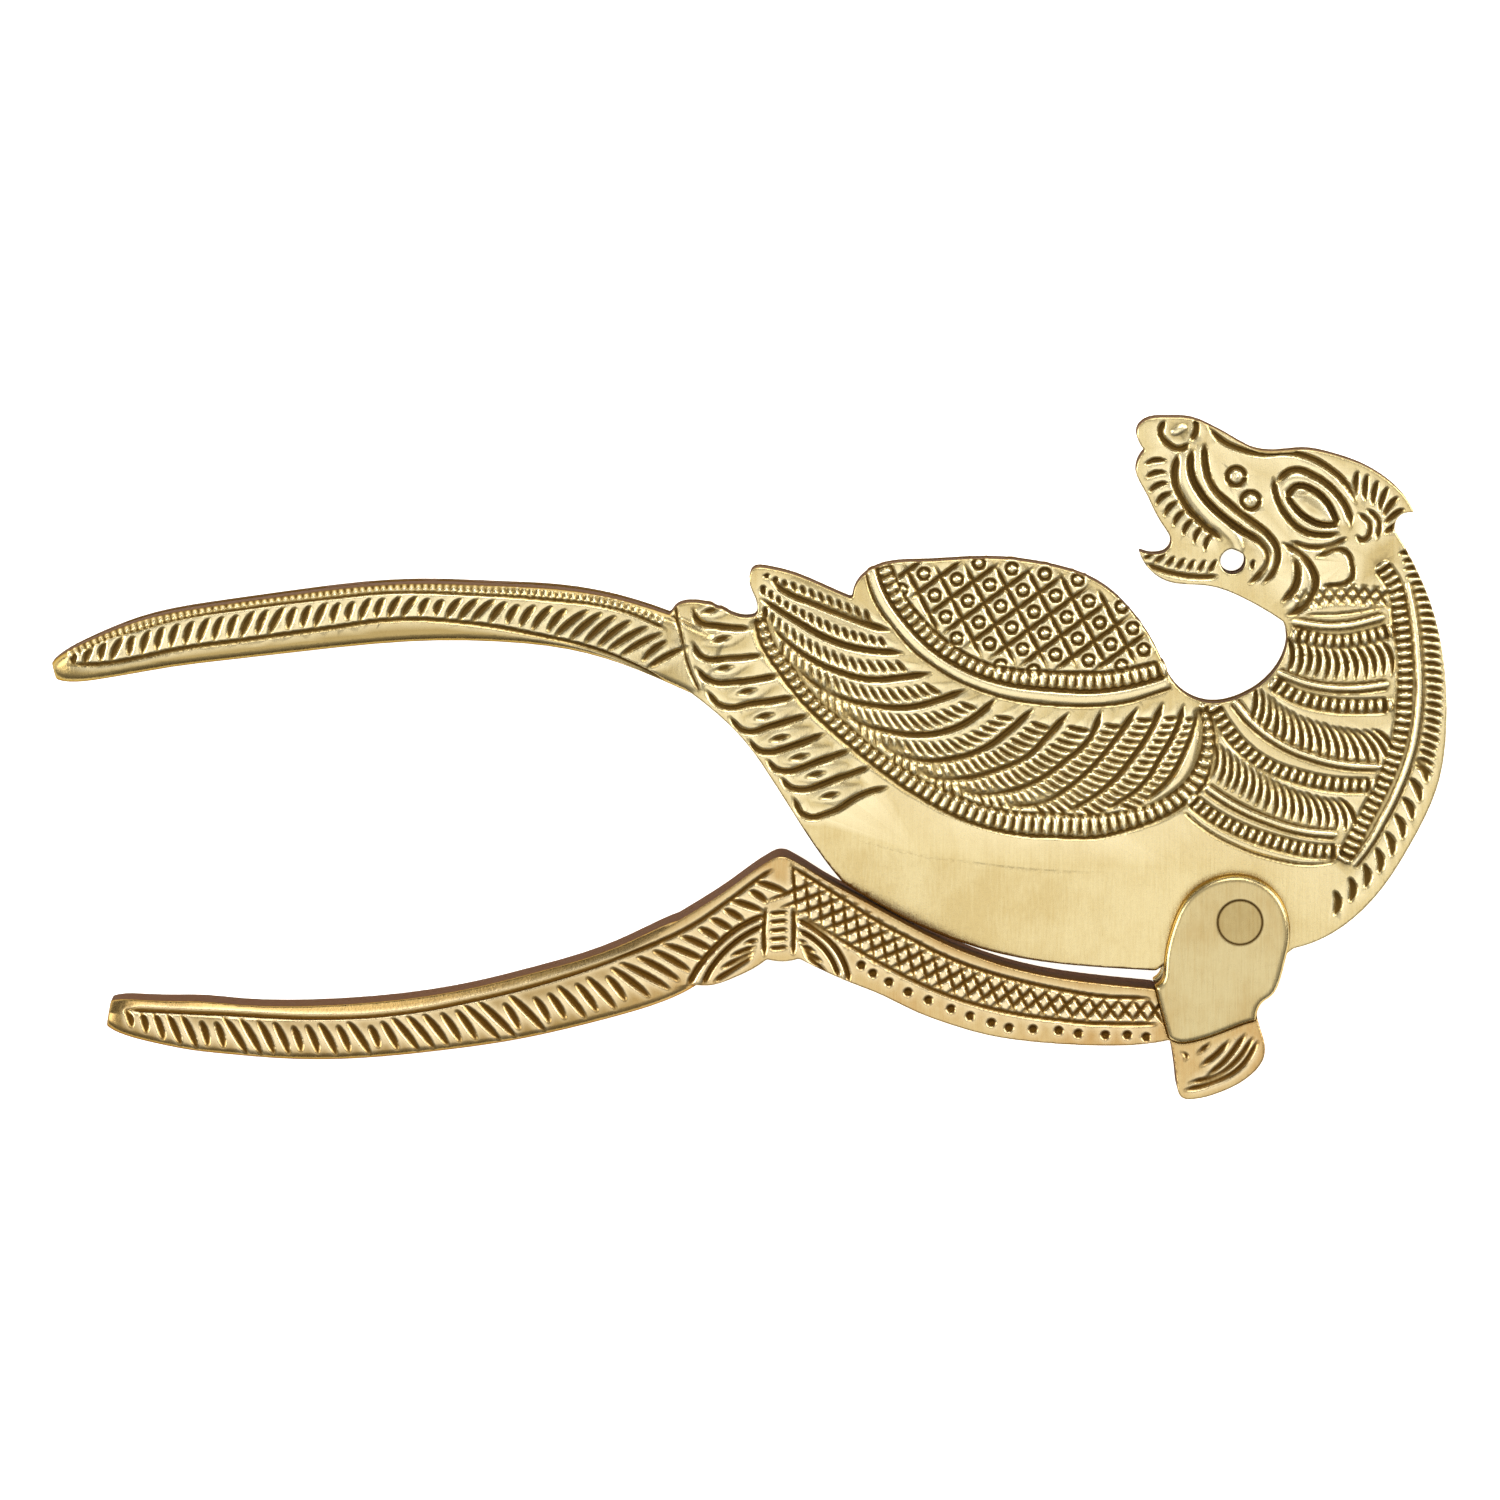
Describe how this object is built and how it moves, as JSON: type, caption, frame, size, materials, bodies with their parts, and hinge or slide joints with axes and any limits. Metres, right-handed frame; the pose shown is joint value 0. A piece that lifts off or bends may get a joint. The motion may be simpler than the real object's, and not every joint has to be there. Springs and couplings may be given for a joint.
{
  "type": "nutcracker",
  "caption": "Cast brass hinged cutter for betel and areca nuts, shaped as a mythical bird, with a ground blade that closes on an anvil bar.",
  "frame": {"origin": "on the rivet's axis, in the outer face of the rear cheek, the face that the tool lies on", "axes": "+X from the handles to the bird's neck, +Y from the anvil lever to the bird's back, +Z out of the front face, along the rivet"},
  "size_m": [0.1904, 0.0934, 0.011],
  "materials": {
    "upper_casting": "cast and chased, dark patina in the recesses, polished high points",
    "lower_casting": "cast and chased, slightly coppery, dark patina in the recesses",
    "cheek_plate": "filed smooth, fine scratches",
    "rivet": "peened flush and filed"
  },
  "bodies": {
    "anvil_lever": {"lower_lever": "lower_casting", "front_cheek": "cheek_plate", "rear_cheek": "cheek_plate", "pivot_rivet": "rivet"},
    "cutting_lever": {"upper_lever": "upper_casting"}
  },
  "joints": [
    {"name": "jaw_pivot", "type": "hinge", "parent": "anvil_lever", "child": "cutting_lever", "pos_m": [0, 0, 0.0055], "axis": [0, 0, -1], "range_deg": [0, 60]}
  ]
}
